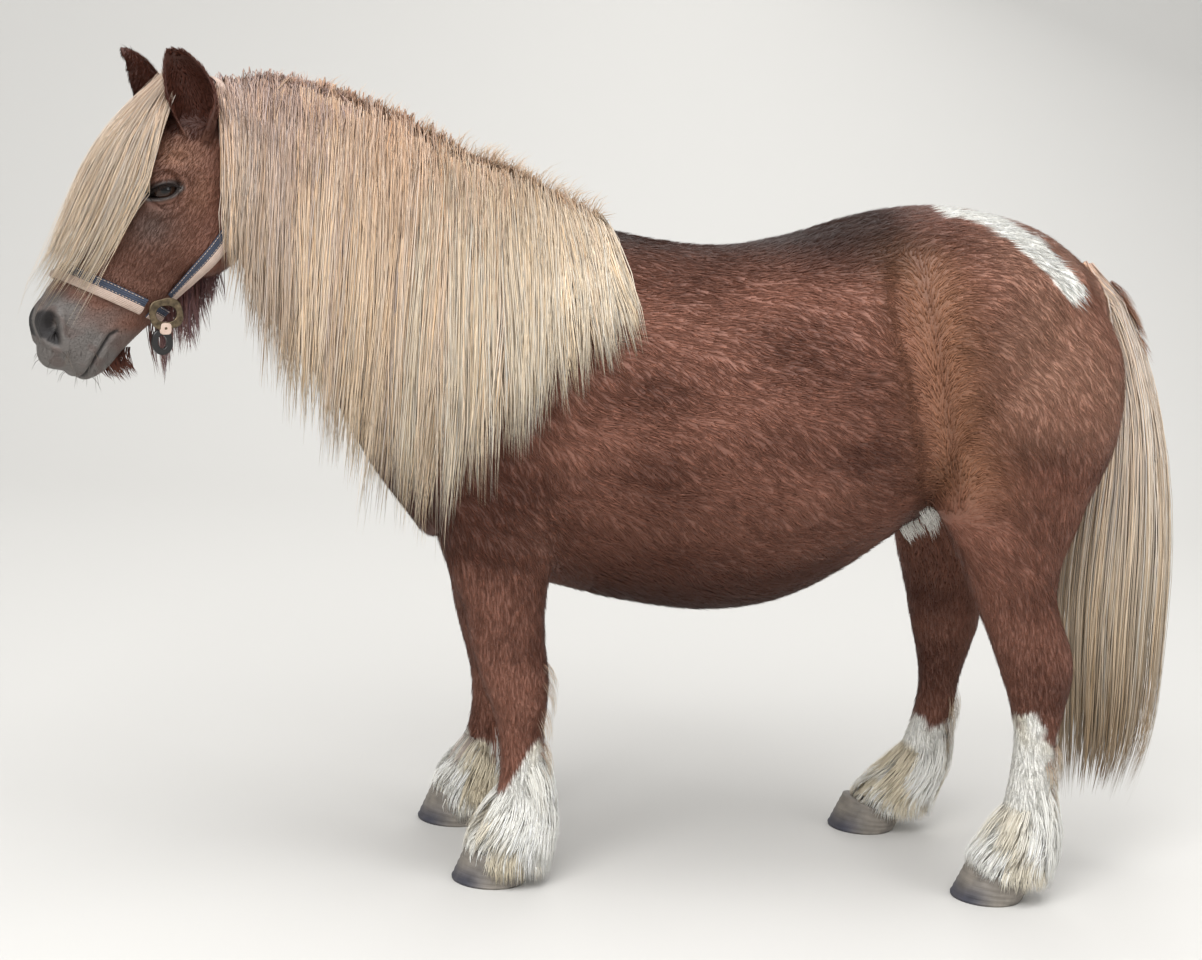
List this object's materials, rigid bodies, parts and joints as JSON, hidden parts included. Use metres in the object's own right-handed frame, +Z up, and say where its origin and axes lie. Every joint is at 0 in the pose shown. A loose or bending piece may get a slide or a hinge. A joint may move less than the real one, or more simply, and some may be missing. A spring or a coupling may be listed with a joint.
{
  "type": "shetland pony",
  "caption": "Stocky long-maned pony standing square on short feathered legs, head turned a little to its near side, wearing a webbing halter; a still life-size model",
  "frame": {"origin": "on the ground, below the middle of the pony's bounding box", "axes": "+Z up, -X the way the pony faces, -Y its near (left) side"},
  "size_m": [1.7032, 0.501, 1.1521],
  "materials": {
    "coat": "deep soft chestnut hair with a pinkish brown sheen",
    "flaxen_hair": "long flaxen hair, reddish at the roots and cream at the tips",
    "white_hair": "cream white hair with yellowish stains",
    "hoof_horn": "dusty grey-brown horn",
    "eye": "wet, very dark brown",
    "webbing": "two-tone woven webbing, slate blue and peach",
    "fitting_metal": "dull dark bronze"
  },
  "bodies": {
    "root": {"torso": "coat", "head": "coat", "neck": "coat", "ear_left": "coat", "ear_right": "coat", "forearm_left": "coat", "forearm_right": "coat", "gaskin_left": "coat", "gaskin_right": "coat", "foreleg_left": "white_hair", "foreleg_right": "white_hair", "hindleg_left": "white_hair", "hindleg_right": "white_hair", "hoof_fore_left": "hoof_horn", "hoof_fore_right": "hoof_horn", "hoof_hind_left": "hoof_horn", "hoof_hind_right": "hoof_horn", "eye_left": "eye", "eye_right": "eye", "tail": "flaxen_hair", "halter_noseband": "webbing", "halter_jaw_strap": "webbing", "halter_crown": "webbing", "halter_cheek_left": "webbing", "halter_cheek_right": "webbing", "halter_fitting_left": "fitting_metal", "halter_fitting_right": "fitting_metal", "halter_buckle_left": "fitting_metal"}
  },
  "joints": []
}
